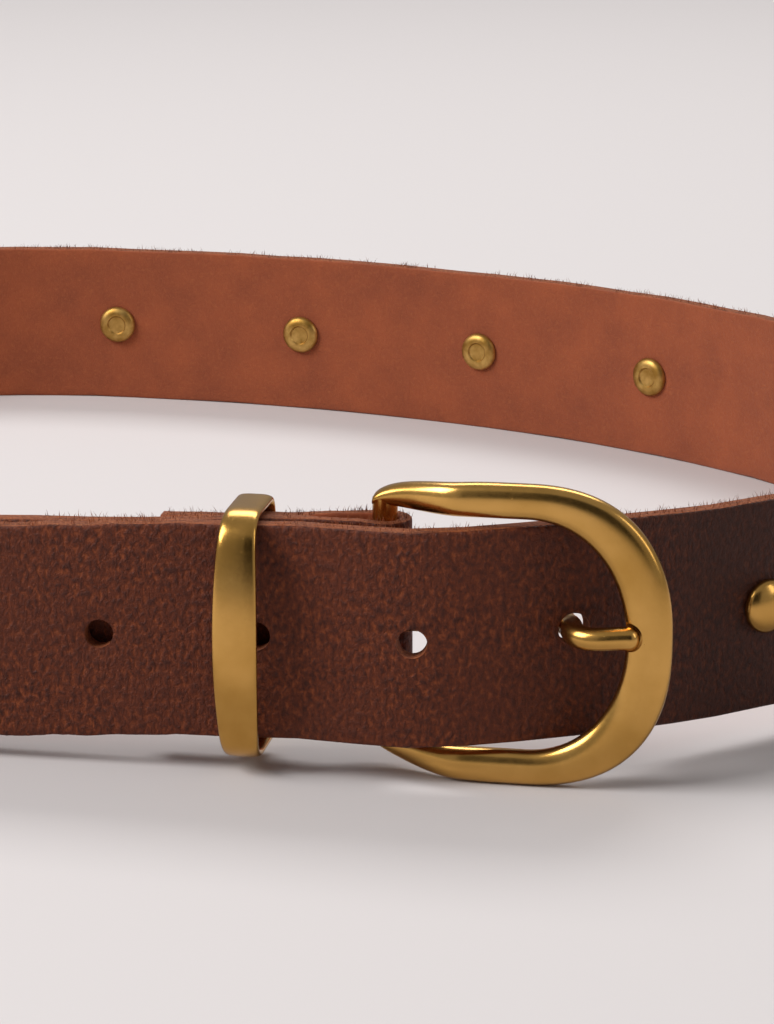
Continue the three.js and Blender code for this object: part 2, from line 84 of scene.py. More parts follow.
bodyY = strapSizes["billetGap"] + strapSizes["thickness"]
turnY = bodyY + strapSizes["thickness"] + strapSizes["gap"]
foldRadius = strapSizes["barDiameter"] / 2 + strapSizes["gap"] + strapSizes["skived"] / 2
frameHeight = buckleSizes["opening"] + 2 * buckleSizes["arm"]
frameY = strapSizes["barBehind"] - buckleSizes["setBack"]
frameZ = frameHeight / 2
prongY = frameY - buckleSizes["thickness"] / 2 + prongSizes["sunk"]
prongTip = buckleSizes["length"] - prongSizes["tipShort"]
prongZ = frameZ + prongSizes["above"]
prongPoint = (holeSizes["fromBar"], 5.7)  # where the billet hangs on the prong
prongHeading = 201


def deselectAll():
    if bpy.context.object and bpy.context.object.mode != "OBJECT":
        bpy.ops.object.mode_set(mode="OBJECT")
    bpy.ops.object.select_all(action="DESELECT")


def pickOnly(obj):
    deselectAll()
    obj.select_set(True)
    bpy.context.view_layer.objects.active = obj


def named(name):
    obj = bpy.context.object
    obj.name = name
    obj.data.name = name
    return obj


def selectPart(obj, kind, test):  # kind is verts, edges or faces
    mesh = bmesh.from_edit_mesh(obj.data)
    bpy.ops.mesh.select_all(action="DESELECT")
    mode = {"verts": "VERT", "edges": "EDGE", "faces": "FACE"}[kind]
    bpy.ops.mesh.select_mode(type=mode)
    for item in getattr(mesh, kind):
        item.select = bool(test(item))
    mesh.select_flush_mode()
    bmesh.update_edit_mesh(obj.data)


def applyAll(obj):
    pickOnly(obj)
    for modifier in list(obj.modifiers):
        bpy.ops.object.modifier_apply(modifier=modifier.name)


def booleanWith(obj, cutter, operation):
    modifier = obj.modifiers.new(operation.lower(), "BOOLEAN")
    modifier.operation = operation
    modifier.object = cutter
    modifier.solver = "EXACT"
    applyAll(obj)
    bpy.data.objects.remove(cutter)


def joinAll(objects):
    pickOnly(objects[0])
    for obj in objects:
        obj.select_set(True)
    bpy.ops.object.join()
    return bpy.context.object


def closeUp(obj):
    pickOnly(obj)
    bpy.ops.object.mode_set(mode="EDIT")
    bpy.ops.mesh.select_all(action="SELECT")
    bpy.ops.mesh.remove_doubles(threshold=0.00001)
    bpy.ops.mesh.fill_holes(sides=0)
    bpy.ops.mesh.select_all(action="SELECT")
    bpy.ops.mesh.normals_make_consistent(inside=False)
    bpy.ops.object.mode_set(mode="OBJECT")
    return obj


def smoothBelow(obj, degrees):
    pickOnly(obj)
    bpy.ops.object.shade_smooth_by_angle(angle=math.radians(degrees))


# A grid bent by formula(u, v), u along and v around, both 0 to 1, then closed up.
def formedGrid(name, along, around, formula):
    deselectAll()
    bpy.ops.mesh.primitive_grid_add(x_subdivisions=along, y_subdivisions=around, size=2)
    obj = named(name)
    for vertex in obj.data.vertices:
        vertex.co = toWorld(*formula((vertex.co.x + 1) / 2, (vertex.co.y + 1) / 2))
    return closeUp(obj)


# A profile of (radius, along y) points spun round the y axis.
def turnedPiece(name, profile, steps=48):
    deselectAll()
    bpy.ops.mesh.primitive_plane_add(size=0.001)
    obj = named(name)
    bpy.ops.object.mode_set(mode="EDIT")
    bpy.ops.mesh.select_mode(type="VERT")
    bpy.ops.mesh.select_all(action="SELECT")
    bpy.ops.mesh.merge(type="CENTER")
    points = [Vector((radius * mm, depth * mm, 0)) for radius, depth in profile]
    bpy.ops.transform.translate(value=points[0])
    for here, there in zip(points, points[1:]):
        bpy.ops.mesh.extrude_region_move(TRANSFORM_OT_translate={"value": there - here})
    bpy.ops.mesh.select_all(action="SELECT")
    bpy.ops.mesh.spin(steps=steps, angle=2 * math.pi, center=(0, 0, 0), axis=(0, 1, 0))
    bpy.ops.object.mode_set(mode="OBJECT")
    return closeUp(obj)


def toWorld(x, y, z):
    return Vector((barWorld.x + x * mm, barWorld.y + (y - strapSizes["barBehind"]) * mm, z * mm))


def smooth(t):
    t = min(1, max(0, t))
    return t * t * (3 - 2 * t)


# The strap's route in plan is a list of curves, and a Route reads points and headings off it by length.
def bezier(start, startHeading, startReach, end, endHeading, endReach):
    def handle(point, heading, reach):
        angle = math.radians(heading)
        return np.array(point) + reach * np.array((math.cos(angle), math.sin(angle)))
    a, d = np.array(start, float), np.array(end, float)
    b, c = handle(start, startHeading, startReach), handle(end, endHeading, -endReach)
    t = np.linspace(0, 1, 400)[:, None]
    return (1 - t) ** 3 * a + 3 * (1 - t) ** 2 * t * b + 3 * (1 - t) * t ** 2 * c + t ** 3 * d


def straight(start, end):
    t = np.linspace(0, 1, 40)[:, None]
    return np.array(start) * (1 - t) + np.array(end) * t


def foldArc():
    angle = np.linspace(math.pi / 2, -math.pi / 2, 200)
    return np.stack([foldRadius * np.cos(angle),
                     strapSizes["barBehind"] + foldRadius * np.sin(angle)], 1)


class Route:
    def __init__(self, curves):
        self.ends = []
        points = np.zeros((0, 2))
        length = 0
        for curve in curves:
            length += np.linalg.norm(np.diff(curve, axis=0), axis=1).sum()
            self.ends.append(length)
            points = np.concatenate([points, curve if not len(points) else curve[1:]])
        steps = np.linalg.norm(np.diff(points, axis=0), axis=1)
        keep = np.concatenate([[True], steps > 1e-9])
        self.points = points[keep]
        steps = np.linalg.norm(np.diff(self.points, axis=0), axis=1)
        self.lengths = np.concatenate([[0], np.cumsum(steps)])
        tangents = np.gradient(self.points, self.lengths, axis=0)
        self.tangents = tangents / np.linalg.norm(tangents, axis=1)[:, None]
        self.total = float(self.lengths[-1])

    def at(self, s):
        s = np.asarray(s, float)
        inside = np.clip(s, 0, self.total)
        point = np.stack([np.interp(inside, self.lengths, self.points[:, i]) for i in (0, 1)], -1)
        tangent = np.stack([np.interp(inside, self.lengths, self.tangents[:, i]) for i in (0, 1)], -1)
        tangent /= np.linalg.norm(tangent, axis=-1, keepdims=True)
        point = point + (s - inside)[..., None] * tangent
        inward = np.stack([tangent[..., 1], -tangent[..., 0]], -1)
        return point, tangent, inward


def bodyCurves():
    size = strapSizes
    quarter = 0.5523  # handle of a quarter ellipse, as a share of its half axis
    partX, behind = size["partX"], size["barBehind"]
    leftEnd = (-size["left"], size["sideHeight"])
    backEnd = (size["backCrown"], bodyY + size["depth"])
    rightEnd = (size["right"], size["rightHeight"])
    slopePoint = (size["slopeX"], size["slopeY"])
    crest = (3.5, -size["wave"])
    lineStart = (-size["keeperX"] + size["keeperWidth"] / 2 + 4, 0)
    reach = -partX / 2
    return [
        straight((-size["turnBack"], turnY), (partX, turnY)),
        bezier((partX, turnY), 0, reach, (0, behind + foldRadius), 0, reach),
        foldArc(),
        bezier((0, behind - foldRadius), 180, reach, (partX, bodyY), 180, reach),
        straight((partX, bodyY), (-size["straight"], bodyY)),
        bezier((-size["straight"], bodyY), 180, quarter * (size["left"] - size["straight"]),
               leftEnd, 90, quarter * (leftEnd[1] - bodyY)),
        bezier(leftEnd, 90, quarter * (backEnd[1] - leftEnd[1]),
               backEnd, 0, quarter * (backEnd[0] - leftEnd[0])),
        bezier(backEnd, 0, quarter * (rightEnd[0] - backEnd[0]),
               rightEnd, -90, quarter * (backEnd[1] - rightEnd[1])),
        bezier(rightEnd, -90, 36, slopePoint, size["slopeHeading"], 22),
        bezier(slopePoint, size["slopeHeading"], 8, prongPoint, prongHeading, 8),
        bezier(prongPoint, prongHeading, 9, crest, 180, 10),
        bezier(crest, 180, 5, lineStart, 180, 5),
        straight(lineStart, (seamX, 0)),
    ]


def tailCurves():
    tipX = holeSizes["fromBar"] - holeSizes["pitch"] * (holeSizes["count"] - 1) - tailSizes["pastLastHole"]
    easeX = -strapSizes["straight"]
    along = (easeX - tipX) / (strapSizes["left"] - strapSizes["straight"])
    depthThere = bodyY + (strapSizes["sideHeight"] - bodyY) * (1 - math.sqrt(1 - along * along))
    tip = (tipX, depthThere - bodyY - tailSizes["standOff"])
    heading = 180 - 1.2 * math.degrees(math.atan2(tip[1], easeX - tipX))
    reach = (easeX - tipX) / 3
    return [straight((tailStartX, 0), (easeX, 0)), bezier((easeX, 0), 180, reach, tip, heading, reach)]


seamX = -strapSizes["keeperX"] - strapSizes["keeperWidth"] / 2 - 0.3
tailStartX = seamX - strapSizes["gap"]
bodyRoute = Route(bodyCurves())
tailRoute = Route(tailCurves())
foldMiddle = (bodyRoute.ends[1] + bodyRoute.ends[2]) / 2
foldHalf = (bodyRoute.ends[2] - bodyRoute.ends[1]) / 2


def alongKeys(keys, s):
    at, heights = zip(*keys)
    s = np.clip(np.asarray(s, float), at[0], at[-1])
    index = np.clip(np.searchsorted(at, s) - 1, 0, len(at) - 2)
    at, heights = np.array(at), np.array(heights)
    t = (s - at[index]) / (at[index + 1] - at[index])
    t = t * t * (3 - 2 * t)
    return heights[index] * (1 - t) + heights[index + 1] * t


def bodyLift(s):
    ends = bodyRoute.ends
    return alongKeys([
        (0, lifts["turnEnd"]), (ends[1], lifts["fold"]), (ends[3], lifts["fold"]),
        (ends[3] + strapSizes["turnBack"], lifts["turnEnd"] - 0.5), (ends[4] + 8, lifts["left"]),
        (ends[5] + 30, lifts["back"]), (ends[7] - 40, lifts["back"]), (ends[8], lifts["slope"]),
        (ends[9], lifts["prong"]), (ends[10], lifts["buckle"]), (bodyRoute.total, lifts["keeper"]),
    ], s)


def tailLift(s):
    keys = [(0, lifts["keeper"]), (40, lifts["left"] + 0.5), (tailRoute.total, lifts["left"] - 1)]
    return alongKeys(keys, s)


def tailThickness(s):
    return np.full(np.shape(s), strapSizes["thickness"])


def bodyThickness(s):
    away = (np.abs(s - foldMiddle) - foldHalf - strapSizes["skiveReach"]) / strapSizes["skiveRun"]
    t = np.clip(away, 0, 1)
    return strapSizes["skived"] + (strapSizes["thickness"] - strapSizes["skived"]) * t * t * (3 - 2 * t)


def lengthAtX(x):
    low, high = bodyRoute.ends[7], bodyRoute.total
    while high - low > 0.001:
        trial = (low + high) / 2
        low, high = (trial, high) if bodyRoute.at(trial)[0][0] > x else (low, trial)
    return low


prongHole = bodyRoute.ends[9]
billetStart = lengthAtX(-strapSizes["keeperX"])  # the strap is in two meshes, met under the keeper
holeLengths = [prongHole + i * holeSizes["pitch"] for i in range(holeSizes["count"])]
studLengths = []
underTail = bodyRoute.ends[3] + abs(float(tailRoute.points[-1][0])) + studSizes["clearOfTip"]
nextStud = prongHole - studSizes["fromProng"]
while nextStud > underTail:
    studLengths.append(nextStud)
    nextStud -= studSizes["pitch"]
print("route", round(bodyRoute.total, 1), "mm,", len(studLengths), "studs")


def hexColour(code):
    channels = [int(code[i:i + 2], 16) / 255 for i in (1, 3, 5)]
    return tuple(c / 12.92 if c <= 0.04045 else ((c + 0.055) / 1.055) ** 2.4 for c in channels) + (1,)


def addNode(tree, kind, inputs, **settings):
    node = tree.nodes.new(kind)
    for name, value in settings.items():
        setattr(node, name, value)
    for name, value in inputs.items():
        if isinstance(value, bpy.types.NodeSocket):
            tree.links.new(value, node.inputs[name])
        else:
            node.inputs[name].default_value = value
    return node


def startMaterial(name):
    material = bpy.data.materials.new(name)
    material.use_nodes = True
    tree = material.node_tree
    shader = next(node for node in tree.nodes if node.type == "BSDF_PRINCIPLED")
    return material, tree, shader


def mixColours(tree, factor, first, second):
    mix = addNode(tree, "ShaderNodeMix", {0: factor, 6: first, 7: second}, data_type="RGBA")
    return mix.outputs[2]


# Oiled full-grain leather: a deep red brown, finely pebbled, worn lighter on the raised grain.
grainLook = {
    # The last colour on the next line is painted shade, laid on the strap near the buckle.
    "dark": "#3A1305", "mid": "#6C2E0F", "light": "#9E5126", "shade": "#56220B", "paintedShade": "#1E0B04",
    "patch": 26, "grain": 0.85, "stretch": 1.5, "fine": 0.3,  # millimetres
    "roughness": 0.52, "bump": 0.6,
    "paintedShadeAt": (14, -26, -60, -110),  # millimetres along from the prong's hole for the painted shade: none, full, full, none
}
# Flesh side: napped, an uneven orange brown.
fleshLook = {"dark": "#853E1F", "mid": "#9C4C26", "light": "#AD6134", "patch": 12, "nap": 0.8, "bump": 0.2}
# Cut edge: raw tan leather in layers.
edgeLook = {"dark": "#54240F", "mid": "#91491F", "light": "#B26E3E", "layer": 0.45, "run": 5,
            "fibresPerMetre": 2200.0, "bump": 0.2}
# Cast brass, tumbled and antiqued: golden, slightly uneven, soft reflections.
brassLook = {"bright": "#CFA058", "deep": "#B88B45", "patch": 14, "roughness": 0.22, "bump": 0.004}
# Turned brass with a dull skin, on the parts that nobody looks at.
dullBrassLook = {"bright": "#C9A25E", "deep": "#9C7536", "patch": 3, "roughness": 0.42, "bump": 0.03}
scuffsPerMetre = 1800.0


def grainLeather():
    look = grainLook
    material, tree, shader = startMaterial("oiled_full_grain_leather")
    flat = addNode(tree, "ShaderNodeAttribute", {}, attribute_name="flat").outputs["Vector"]
    patch = addNode(tree, "ShaderNodeTexNoise", {"Vector": flat, "Scale": 1000 / look["patch"],
                                                 "Detail": 4.0, "Roughness": 0.55})
    across = 1000 / look["grain"]
    squeezed = addNode(tree, "ShaderNodeMapping", {
        "Vector": flat, "Scale": (across, across, across / look["stretch"])})
    pebble = addNode(tree, "ShaderNodeTexNoise", {"Vector": squeezed.outputs[0], "Scale": 1.0, "Detail": 5.0,
                                                  "Roughness": 0.55, "Distortion": 0.25})
    fine = addNode(tree, "ShaderNodeTexNoise", {"Vector": flat, "Scale": 1000 / look["fine"], "Detail": 2.0})
    raised = addNode(tree, "ShaderNodeMapRange", {"Value": pebble.outputs["Fac"], "From Min": 0.36,
                                                  "From Max": 0.6})
    top = addNode(tree, "ShaderNodeMapRange", {"Value": pebble.outputs["Fac"], "From Min": 0.56,
                                               "From Max": 0.75, "To Max": 0.75})
    worn = addNode(tree, "ShaderNodeMapRange", {"Value": patch.outputs["Fac"], "From Min": 0.35,
                                                "From Max": 0.65, "To Min": 0.6, "To Max": 0.0})
    base = mixColours(tree, raised.outputs[0], hexColour(look["dark"]), hexColour(look["mid"]))
    base = mixColours(tree, top.outputs[0], base, hexColour(look["light"]))
    base = mixColours(tree, worn.outputs[0], base, hexColour(look["shade"]))
    # Painted shade: the leather is darkened where it runs through the buckle, standing in for the shadow
    # that falls there.
    along = addNode(tree, "ShaderNodeSeparateXYZ", {"Vector": flat}).outputs["X"]
    clearEnd, fullEnd, fullStart, clearStart = ((prongHole + away) * mm for away in look["paintedShadeAt"])
    before = addNode(tree, "ShaderNodeMapRange", {"Value": along, "From Min": clearEnd,
                                                  "From Max": fullEnd, "To Max": 0.62})
    after = addNode(tree, "ShaderNodeMapRange", {"Value": along, "From Min": clearStart,
                                                 "From Max": fullStart})
    paintedShade = addNode(tree, "ShaderNodeMath", {0: before.outputs[0], 1: after.outputs[0]},
                      operation="MULTIPLY")
    base = mixColours(tree, paintedShade.outputs[0], base, hexColour(look["paintedShade"]))
    height = addNode(tree, "ShaderNodeMath", {0: fine.outputs["Fac"], 1: 0.2, 2: pebble.outputs["Fac"]},
                     operation="MULTIPLY_ADD")
    bump = addNode(tree, "ShaderNodeBump", {"Height": height.outputs[0], "Strength": 1.0,
                                            "Distance": look["bump"] * mm})
    rough = addNode(tree, "ShaderNodeMapRange", {"Value": patch.outputs["Fac"],
                                                 "To Min": look["roughness"] - 0.06,
                                                 "To Max": look["roughness"] + 0.12})
    tree.links.new(base, shader.inputs["Base Color"])
    tree.links.new(rough.outputs[0], shader.inputs["Roughness"])
    tree.links.new(bump.outputs[0], shader.inputs["Normal"])
    shader.inputs["Specular IOR Level"].default_value = 0.28
    return material


def fleshLeather():
    look = fleshLook
    material, tree, shader = startMaterial("napped_flesh_side_leather")
    flat = addNode(tree, "ShaderNodeAttribute", {}, attribute_name="flat").outputs["Vector"]
    patch = addNode(tree, "ShaderNodeTexNoise", {"Vector": flat, "Scale": 1000 / look["patch"],
                                                 "Detail": 8.0, "Roughness": 0.68})
    nap = addNode(tree, "ShaderNodeTexNoise", {"Vector": flat, "Scale": 1000 / look["nap"],
                                               "Detail": 6.0, "Roughness": 0.75, "Distortion": 0.8})
    patchShare = addNode(tree, "ShaderNodeMapRange", {"Value": patch.outputs["Fac"], "From Min": 0.3,
                                                      "From Max": 0.66})
    base = mixColours(tree, patchShare.outputs[0], hexColour(look["dark"]), hexColour(look["mid"]))
    napShare = addNode(tree, "ShaderNodeMapRange", {"Value": nap.outputs["Fac"], "From Min": 0.5,
                                                    "From Max": 0.75, "To Max": 0.5})
    base = mixColours(tree, napShare.outputs[0], base, hexColour(look["light"]))
    bump = addNode(tree, "ShaderNodeBump", {"Height": nap.outputs["Fac"], "Strength": 1.0,
                                            "Distance": look["bump"] * mm})
    tree.links.new(base, shader.inputs["Base Color"])
    tree.links.new(bump.outputs[0], shader.inputs["Normal"])
    shader.inputs["Roughness"].default_value = 0.9
    shader.inputs["Sheen Weight"].default_value = 0.15
    return material


def rawEdge():
    look = edgeLook
    material, tree, shader = startMaterial("raw_cut_leather_edge")
    flat = addNode(tree, "ShaderNodeAttribute", {}, attribute_name="flat").outputs["Vector"]
    layered = addNode(tree, "ShaderNodeMapping", {
        "Vector": flat, "Scale": (1000 / look["run"], 1000 / look["layer"], 1000 / look["run"])})
    layers = addNode(tree, "ShaderNodeTexNoise", {"Vector": layered.outputs[0], "Scale": 1.0,
                                                  "Detail": 6.0, "Roughness": 0.7})
    fibres = addNode(tree, "ShaderNodeTexNoise", {"Vector": flat, "Scale": look["fibresPerMetre"],
                                                  "Detail": 3.0})
    share = addNode(tree, "ShaderNodeMapRange", {"Value": layers.outputs["Fac"], "From Min": 0.36,
                                                 "From Max": 0.6})
    base = mixColours(tree, share.outputs[0], hexColour(look["dark"]), hexColour(look["mid"]))
    fibreShare = addNode(tree, "ShaderNodeMapRange", {"Value": fibres.outputs["Fac"], "From Min": 0.5,
                                                      "From Max": 0.75, "To Max": 0.8})
    base = mixColours(tree, fibreShare.outputs[0], base, hexColour(look["light"]))
    height = addNode(tree, "ShaderNodeMath", {0: layers.outputs["Fac"], 1: 0.8, 2: fibres.outputs["Fac"]},
                     operation="MULTIPLY_ADD")
    bump = addNode(tree, "ShaderNodeBump", {"Height": height.outputs[0], "Strength": 1.0,
                                            "Distance": look["bump"] * mm})
    tree.links.new(base, shader.inputs["Base Color"])
    tree.links.new(bump.outputs[0], shader.inputs["Normal"])
    shader.inputs["Roughness"].default_value = 0.85
    return material


def brass(name, look):
    material, tree, shader = startMaterial(name)
    place = addNode(tree, "ShaderNodeTexCoord", {}).outputs["Object"]
    patch = addNode(tree, "ShaderNodeTexNoise", {"Vector": place, "Scale": 1000 / look["patch"],
                                                 "Detail": 4.0, "Roughness": 0.55})
    share = addNode(tree, "ShaderNodeMapRange", {"Value": patch.outputs["Fac"], "From Min": 0.35,
                                                 "From Max": 0.65})
    base = mixColours(tree, share.outputs[0], hexColour(look["deep"]), hexColour(look["bright"]))
    scuffs = addNode(tree, "ShaderNodeTexNoise", {"Vector": place, "Scale": scuffsPerMetre, "Detail": 4.0})
    rough = addNode(tree, "ShaderNodeMapRange", {"Value": scuffs.outputs["Fac"],
                                                 "To Min": look["roughness"] - 0.05,
                                                 "To Max": look["roughness"] + 0.09})
    height = addNode(tree, "ShaderNodeMath", {0: scuffs.outputs["Fac"], 1: 0.25, 2: patch.outputs["Fac"]},
                     operation="MULTIPLY_ADD")
    bump = addNode(tree, "ShaderNodeBump", {"Height": height.outputs[0], "Strength": 1.0,
                                            "Distance": look["bump"] * mm})
    tree.links.new(base, shader.inputs["Base Color"])
    tree.links.new(rough.outputs[0], shader.inputs["Roughness"])
    tree.links.new(bump.outputs[0], shader.inputs["Normal"])
    shader.inputs["Metallic"].default_value = 1.0
    return material


grain, flesh, edge = grainLeather(), fleshLeather(), rawEdge()
castBrass = brass("cast_antiqued_brass", brassLook)
dullBrass = brass("turned_dull_brass", dullBrassLook)


def flatStrip(name, start, end):
    size = strapSizes
    deselectAll()
    bpy.ops.mesh.primitive_cube_add(size=1, location=((start + end) / 2 * mm, 0, size["width"] / 2 * mm),
                                    scale=((end - start) * mm, size["thickness"] * mm, size["width"] * mm))
    obj = named(name)
    bpy.ops.object.transform_apply(location=True, rotation=False, scale=True)
    bpy.ops.object.mode_set(mode="EDIT")

    def isLong(e):
        return abs(e.verts[0].co.x - e.verts[1].co.x) > size["spacing"] * 2 * mm

    selectPart(obj, "edges", isLong)
    bpy.ops.mesh.bevel(offset=size["edgeRound"] * mm, segments=3, affect="EDGES")
    for row in range(1, size["rows"]):
        bpy.ops.mesh.select_all(action="SELECT")
        bpy.ops.mesh.bisect(plane_co=(0, 0, size["width"] * mm * row / size["rows"]), plane_no=(0, 0, 1))
    fineReach = foldHalf + size["foldMargin"]
    folds = [s for s in (foldMiddle - fineReach, foldMiddle + fineReach) if start < s < end]
    for s in folds:
        bpy.ops.mesh.select_all(action="SELECT")
        bpy.ops.mesh.bisect(plane_co=(s * mm, 0, 0), plane_no=(1, 0, 0))
    spans = [start, *folds, end]
    for low, high in zip(spans, spans[1:]):
        fine = size["foldSpacing"] if folds and low == folds[0] else size["spacing"]
        middle = (low + high) / 2 * mm
        selectPart(obj, "edges", lambda e: isLong(e)
                   and min(v.co.x for v in e.verts) < middle < max(v.co.x for v in e.verts))
        bpy.ops.mesh.subdivide(number_cuts=int((high - low) / fine))
    bpy.ops.object.mode_set(mode="OBJECT")
    return obj


# Round holes, each (length, height, diameter), in the flat strip.
def punchOut(obj, punches):
    tools = []
    for s, height, diameter in punches:
        deselectAll()
        bpy.ops.mesh.primitive_cylinder_add(vertices=40, radius=diameter / 2 * mm, depth=10 * mm,
                                            location=(s * mm, 0, height * mm), rotation=(math.pi / 2, 0, 0))
        tools.append(bpy.context.object)
    booleanWith(obj, joinAll(tools), "DIFFERENCE")


def cutSlot(obj, s, height, reach, tall):
    deselectAll()
    bpy.ops.mesh.primitive_cube_add(size=1, location=(s * mm, 0, height * mm),
                                    scale=(2 * reach * mm, 10 * mm, tall * mm))
    bpy.ops.object.transform_apply(location=True, rotation=False, scale=True)
    tool = bpy.context.object
    bpy.ops.object.mode_set(mode="EDIT")
    selectPart(tool, "edges", lambda e: abs(e.verts[0].co.y - e.verts[1].co.y) > 5 * mm)
    bpy.ops.mesh.bevel(offset=tall * 0.49 * mm, segments=8, affect="EDGES")
    bpy.ops.object.mode_set(mode="OBJECT")
    booleanWith(obj, tool, "DIFFERENCE")


# How uneven the leather is, in millimetres.
unevenness = {"waver": 0.16, "rim": 1.5, "sway": 0.25, "ragged": 0.09, "dish": 0.3, "dishReach": 1.1}


# Points given as length, depth and height in the flat strip go to their places on the loop.
def bentPlaces(route, liftOf, s, across, height):
    point, _, inward = route.at(s)
    plan = point + inward * across[:, None]
    level = np.maximum(height + liftOf(s), 0)
    return np.stack([barWorld.x / mm + plan[:, 0],
                     barWorld.y / mm + plan[:, 1] - strapSizes["barBehind"], level], 1) * mm


def layOnRoute(obj, route, liftOf, thicknessOf, dishes, tipLength=0):
    mesh = obj.data
    for material in (grain, flesh, edge):
        mesh.materials.append(material)
    for face in mesh.polygons:
        across = face.normal.y
        face.material_index = 0 if across < -0.35 else 1 if across > 0.55 else 2
    count = len(mesh.vertices)
    flat = np.zeros(count * 3)
    mesh.vertices.foreach_get("co", flat)
    flat = flat.reshape(-1, 3) / mm
    s, across, height = flat.T.copy()
    half = strapSizes["width"] / 2
    if tipLength:  # the end is trimmed to half an oval
        past = np.clip((s - (route.total - tipLength)) / tipLength, 0, 0.9995)
        height = half + (height - half) * np.sqrt(1 - past * past)
    grainSide = np.clip(-across, 0, 1)
    for at, level, radius in dishes:
        away = np.hypot(s - at, height - level)
        sunk = np.exp(-((away - radius) / unevenness["dishReach"]).clip(0) ** 2)
        across += unevenness["dish"] * grainSide * sunk
    for i in range(count):
        across[i] += unevenness["waver"] * noise.noise(Vector((s[i] / 13, height[i] / 15, 3.3)))
        if abs(height[i] - half) > half - unevenness["rim"]:
            height[i] += (noise.noise(Vector((s[i] / 6, 7.7, 0))) * unevenness["sway"]
                          + noise.noise(Vector((s[i] / 0.9, 1.1, across[i]))) * unevenness["ragged"])
    across *= thicknessOf(s) / strapSizes["thickness"]
    mesh.vertices.foreach_set("co", bentPlaces(route, liftOf, s, across, height).ravel())
    attribute = mesh.attributes.new("flat", "FLOAT_VECTOR", "POINT")
    attribute.data.foreach_set("vector", (flat * mm).ravel())
    mesh.update()
    smoothBelow(obj, 40)
    return obj


def makeStrap():
    half = strapSizes["width"] / 2
    onProng = prongZ - prongSizes["dip"] - float(bodyLift(prongHole))
    holes = [(s, onProng if s == prongHole else half - holeSizes["below"])
             for s in holeLengths if s < billetStart + holeSizes["diameter"]]
    obj = flatStrip("leather_strap", 0, billetStart)
    punches = [(s, level, holeSizes["diameter"] + (holeSizes["stretched"] if s == prongHole else 0))
               for s, level in holes]
    punches += [(s, half, studSizes["post"] + 2 * strapSizes["pinRoom"]) for s in studLengths]
    punchOut(obj, punches)
    eye = strapSizes["barDiameter"] / 2 + strapSizes["gap"] + prongSizes["eyeWall"]
    cutSlot(obj, foldMiddle, prongZ - float(bodyLift(foldMiddle)), foldHalf + eye + 3,
            prongSizes["eyeWidth"] + 4 * strapSizes["pinRoom"])
    layOnRoute(obj, bodyRoute, bodyLift, bodyThickness,
               [(s, level, holeSizes["diameter"] / 2) for s, level in holes])
    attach(obj, "strap")
    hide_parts("strap")
    print("strap", len(obj.data.polygons), "faces")
    return obj


fibreSizes = {"perMillimetre": 8, "length": 0.9, "shortest": 0.25, "radius": 0.055, "rooted": 0.35}


# Loose fibres that stand up from the upper cut edge, each a tapered three-sided spike.
def makeFibres(name, route, liftOf, thicknessOf, low, high):
    size = fibreSizes
    chance = random.Random(len(name))
    level = strapSizes["width"] - size["rooted"]
    faces, flats = [], []
    for _ in range(int((high - low) * size["perMillimetre"])):
        s = chance.uniform(low, high)
        if chance.random() > 0.7 + 1.3 * noise.noise(Vector((s / 7, 2.5, 0))):  # they grow in tufts
            continue
        x = route.at(np.array([s]))[0][0][0]
        if abs(x + strapSizes["keeperX"]) < strapSizes["keeperWidth"] / 2 + 1:  # none under the keeper
            continue
        depth = chance.uniform(-0.42, 0.42) * float(thicknessOf(s))
        length = size["length"] * chance.random() ** 2 + size["shortest"]
        leanAlong = chance.uniform(-1, 1) * length * 0.7
        leanAcross = chance.uniform(-1, 1) * length * 0.5
        first = len(flats)
        for share, girth in ((0, 1.0), (0.55, 0.75), (1, 0.15)):
            for turn in range(3):
                angle = 2 * math.pi * turn / 3
                flats.append((s + leanAlong * share * share + size["radius"] * girth * math.cos(angle),
                              depth + leanAcross * share + size["radius"] * girth * math.sin(angle),
                              level + (size["rooted"] + length) * share))
        for ring in (0, 3):
            for turn in range(3):
                a, b = first + ring + turn, first + ring + (turn + 1) % 3
                faces.append((a, b, b + 3, a + 3))
        faces += [(first + 2, first + 1, first), (first + 6, first + 7, first + 8)]
    flat = np.array(flats)
    mesh = bpy.data.meshes.new(name)
    mesh.from_pydata(bentPlaces(route, liftOf, *flat.T).tolist(), [], faces)
    mesh.attributes.new("flat", "FLOAT_VECTOR", "POINT").data.foreach_set("vector", (flat * mm).ravel())
    mesh.materials.append(edge)
    obj = bpy.data.objects.new(name, mesh)
    bpy.context.collection.objects.link(obj)
    return obj


# Bakes the piece's placement into its mesh.
def bendTail(obj):
    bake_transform(obj)


def makeBillet():
    half = strapSizes["width"] / 2
    start = strapSizes["keeperX"] + tailStartX
    tailStart = bodyRoute.total + strapSizes["gap"]
    holes = [(s - tailStart, half - holeSizes["below"]) for s in holeLengths
             if s - tailStart > start - holeSizes["diameter"]]
    obj = flatStrip("billet_end", start, tailRoute.total)
    punchOut(obj, [(s, level, holeSizes["diameter"]) for s, level in holes])
    layOnRoute(obj, tailRoute, tailLift, tailThickness,
               [(s, level, holeSizes["diameter"] / 2) for s, level in holes], tailSizes["tipLength"])
    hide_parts("strap_tail")
    bendTail(obj)
    print("billet", len(obj.data.polygons), "faces")
    return obj


makeStrap()
makeBillet()
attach(makeFibres("strap_fibres", bodyRoute, bodyLift, bodyThickness, 0.5, billetStart), "strap")
bendTail(makeFibres("billet_fibres", tailRoute, tailLift, tailThickness,
                    6, tailRoute.total - tailSizes["tipLength"]))
print("loose fibres")


